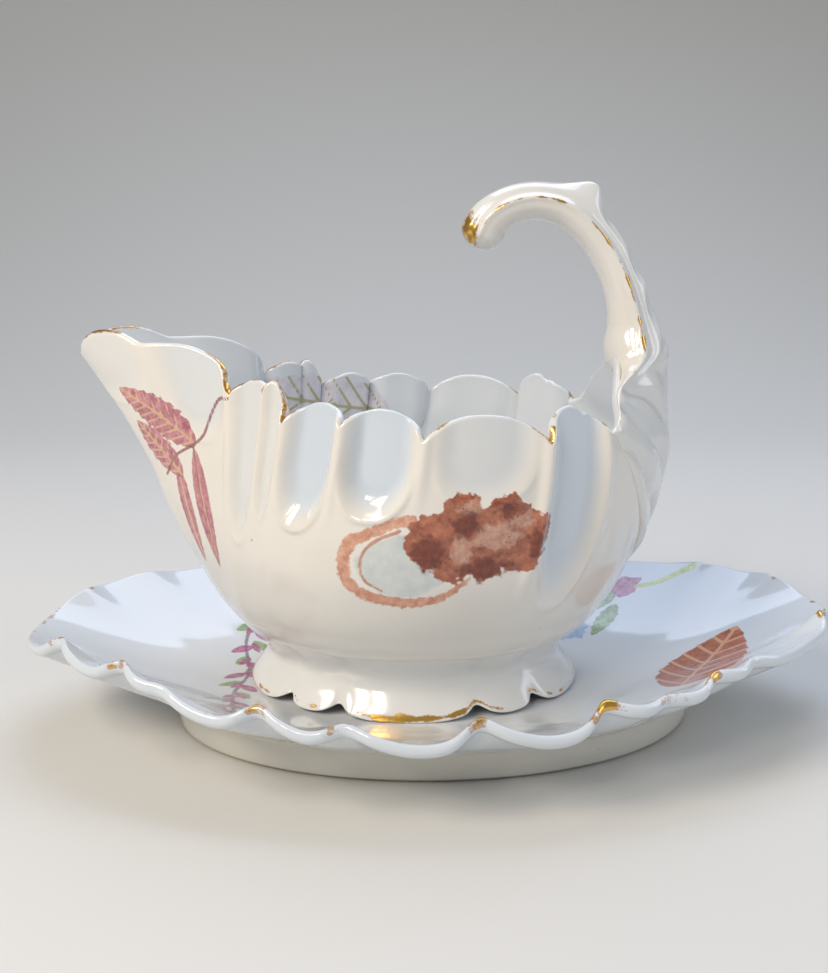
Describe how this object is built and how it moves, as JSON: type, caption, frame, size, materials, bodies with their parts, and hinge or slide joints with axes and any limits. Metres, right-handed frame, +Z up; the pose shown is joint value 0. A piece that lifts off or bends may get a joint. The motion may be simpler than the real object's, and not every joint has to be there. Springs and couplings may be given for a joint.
{
  "type": "gravy boat",
  "caption": "Porcelain gravy boat with scalloped rim, pouring spout and curled loop handle, standing on a ruffled oval underplate.",
  "frame": {"origin": "centre of the underplate's outline, on the table the foot ring stands on", "axes": "+Z up, the spout points along -X and the handle stands at +X"},
  "size_m": [0.22, 0.1415, 0.143],
  "materials": {
    "underplate_porcelain": "gloss",
    "foot_ring_porcelain": "gloss",
    "bowl_porcelain": "gloss",
    "boat_foot_porcelain": "gloss",
    "handle_porcelain": "gloss"
  },
  "bodies": {
    "underplate": {"underplate_dish": "underplate_porcelain", "underplate_foot_ring": "foot_ring_porcelain"},
    "boat": {"boat_bowl": "bowl_porcelain", "boat_foot": "boat_foot_porcelain", "boat_handle": "handle_porcelain"}
  },
  "joints": [
    {"name": "boat_lift", "type": "slide", "parent": "underplate", "child": "boat", "axis": [0, 0, 1], "range_m": [0, 0.12]}
  ]
}
